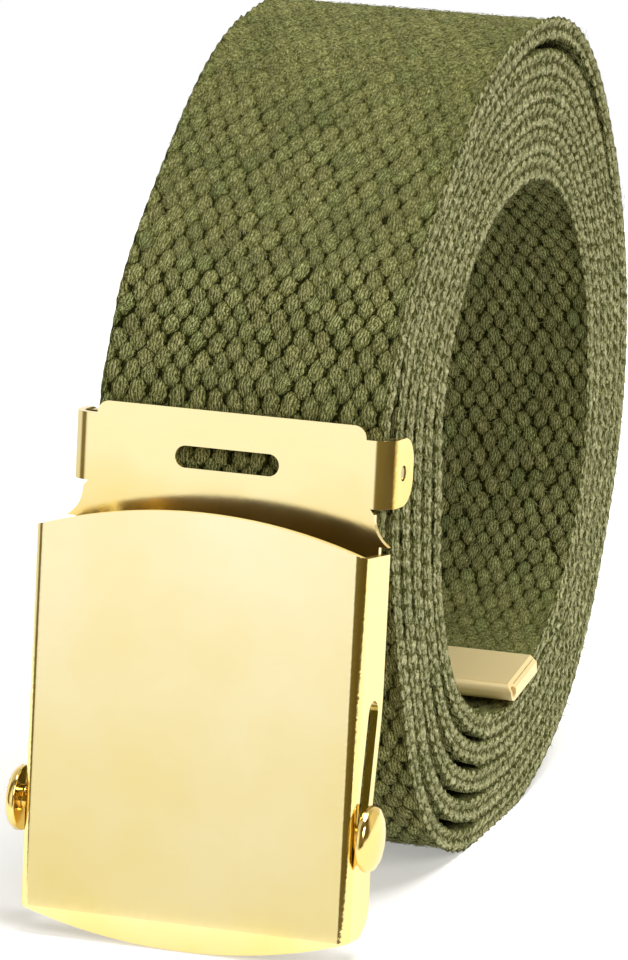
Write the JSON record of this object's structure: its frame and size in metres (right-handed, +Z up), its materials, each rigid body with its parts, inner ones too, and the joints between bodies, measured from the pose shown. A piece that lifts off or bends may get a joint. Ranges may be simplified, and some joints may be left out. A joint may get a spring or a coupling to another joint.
{
  "type": "canvas web belt",
  "caption": "Woven web belt wound into an upright oval coil, with a plate buckle and sliding locking bar on its outer end and a metal cap on its inner end.",
  "frame": {"origin": "middle of the belt's footprint, on the surface that it stands on", "axes": "+Z up, +Y from the buckle towards the coil, X along the web's width"},
  "size_m": [0.0496, 0.1144, 0.1041],
  "materials": {
    "webbing": "woven olive cotton webbing",
    "brass": "polished",
    "cap_brass": "polished"
  },
  "bodies": {
    "belt": {"web_strap": "webbing", "end_cap": "cap_brass", "cover_case": "brass", "bridge_plate": "brass", "clamp_jaw": "brass"},
    "bar": {"locking_bar": "brass"}
  },
  "joints": [
    {"name": "bar_slide", "type": "slide", "parent": "belt", "child": "bar", "axis": [0, 0.2919, 0.9564], "range_m": [0, 0.0153]}
  ]
}
